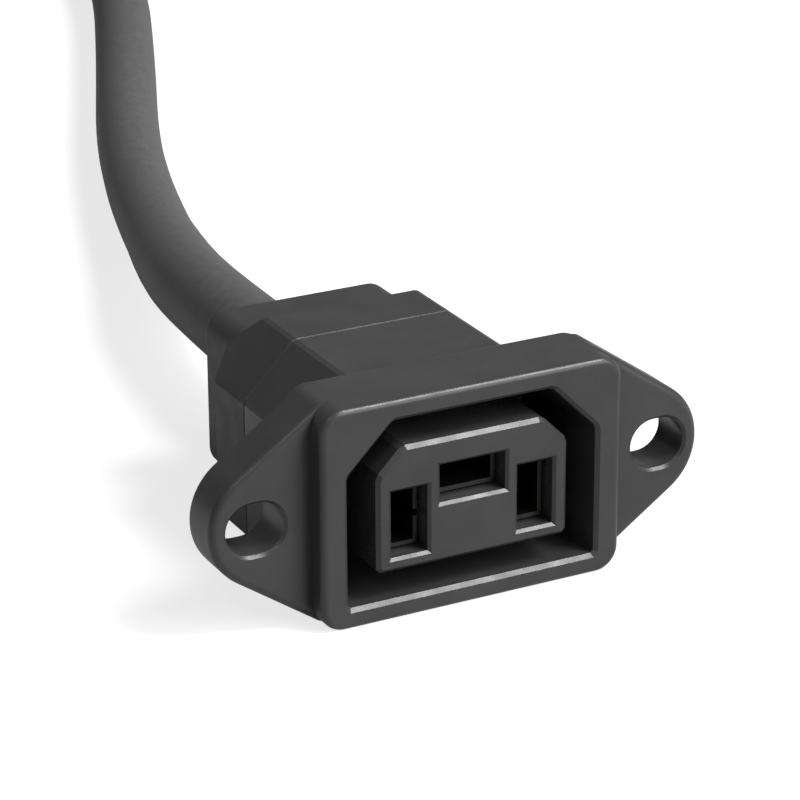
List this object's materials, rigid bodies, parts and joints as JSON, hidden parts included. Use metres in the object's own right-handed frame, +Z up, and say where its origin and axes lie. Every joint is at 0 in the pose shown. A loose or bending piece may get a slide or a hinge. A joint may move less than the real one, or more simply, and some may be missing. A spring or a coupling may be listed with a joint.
{
  "type": "panel-mount power socket with cord",
  "caption": "Chamfered mains power socket with side ears, a moated core with flat contact slots, and a moulded-on round cord that ends in a plug.",
  "frame": {"origin": "middle of the socket's own box, without its cord, on the surface that the flange stands on", "axes": "+X across the socket's two ears, +Y from its front face towards the cord, +Z up"},
  "size_m": [0.1233, 0.3499, 0.0232],
  "materials": {
    "housing_plastic": "fine satin moulded texture",
    "insert_plastic": "satin moulded",
    "hood_plastic": "fine satin moulded texture",
    "cord_jacket": "matt extruded jacket",
    "sleeve_rubber": "matt soft",
    "contact_brass": "folded bright sheet",
    "pin_brass": "smooth solid blade",
    "copper_strand": "stranded",
    "live_insulation": "smooth",
    "neutral_insulation": "smooth",
    "earth_insulation": "smooth",
    "plug_plastic": "satin moulded"
  },
  "bodies": {
    "root": {"front_housing": "housing_plastic", "contact_insert": "insert_plastic", "rear_hood": "hood_plastic", "cord_sleeve": "sleeve_rubber", "live_contact": "contact_brass", "neutral_contact": "contact_brass", "earth_contact": "contact_brass", "live_conductor": "copper_strand", "neutral_conductor": "copper_strand", "earth_conductor": "copper_strand", "live_wire": "live_insulation", "neutral_wire": "neutral_insulation", "earth_wire": "earth_insulation", "cord_run": "cord_jacket", "cord_coil": "cord_jacket", "cord_tail": "cord_jacket", "plug_shroud": "plug_plastic", "plug_grip": "plug_plastic", "plug_sleeve": "sleeve_rubber", "plug_live_pin": "pin_brass", "plug_neutral_pin": "pin_brass", "plug_earth_pin": "pin_brass"}
  },
  "joints": []
}
